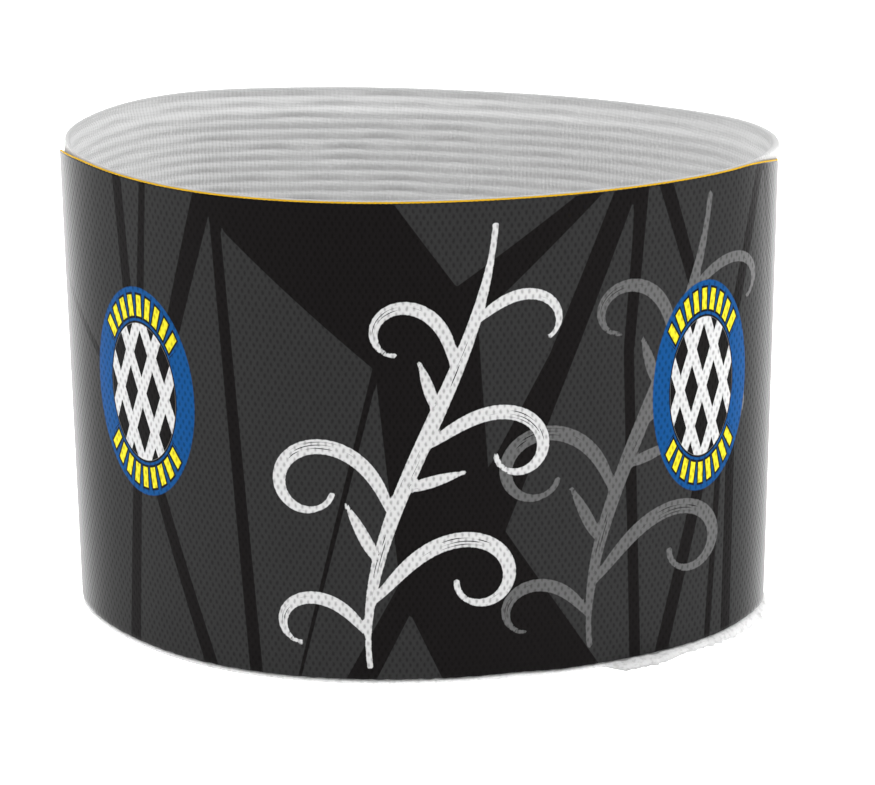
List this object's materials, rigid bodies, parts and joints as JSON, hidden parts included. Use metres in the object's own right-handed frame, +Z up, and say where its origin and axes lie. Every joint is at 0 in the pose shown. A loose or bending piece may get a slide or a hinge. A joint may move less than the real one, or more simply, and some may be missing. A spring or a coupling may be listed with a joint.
{
  "type": "captain armband",
  "caption": "Wide stretch armband standing as an upright oval loop: ribbed white elastic inside a dark printed mesh cover, with a thin gold cord along the top edge.",
  "frame": {"origin": "middle of the lower edge that the armband stands on", "axes": "+X along the long way of the oval loop, +Y from the printed front to the plain back, +Z up the arm axis"},
  "size_m": [0.107, 0.0592, 0.075],
  "materials": {
    "elastic": "matte ribbed knitted elastic, white",
    "printed_mesh": "charcoal knitted mesh with a blue, black, white and yellow print",
    "gold_thread": "gold thread"
  },
  "bodies": {
    "root": {"elastic_lining": "elastic", "printed_cover": "printed_mesh", "gold_edging": "gold_thread"}
  },
  "joints": []
}
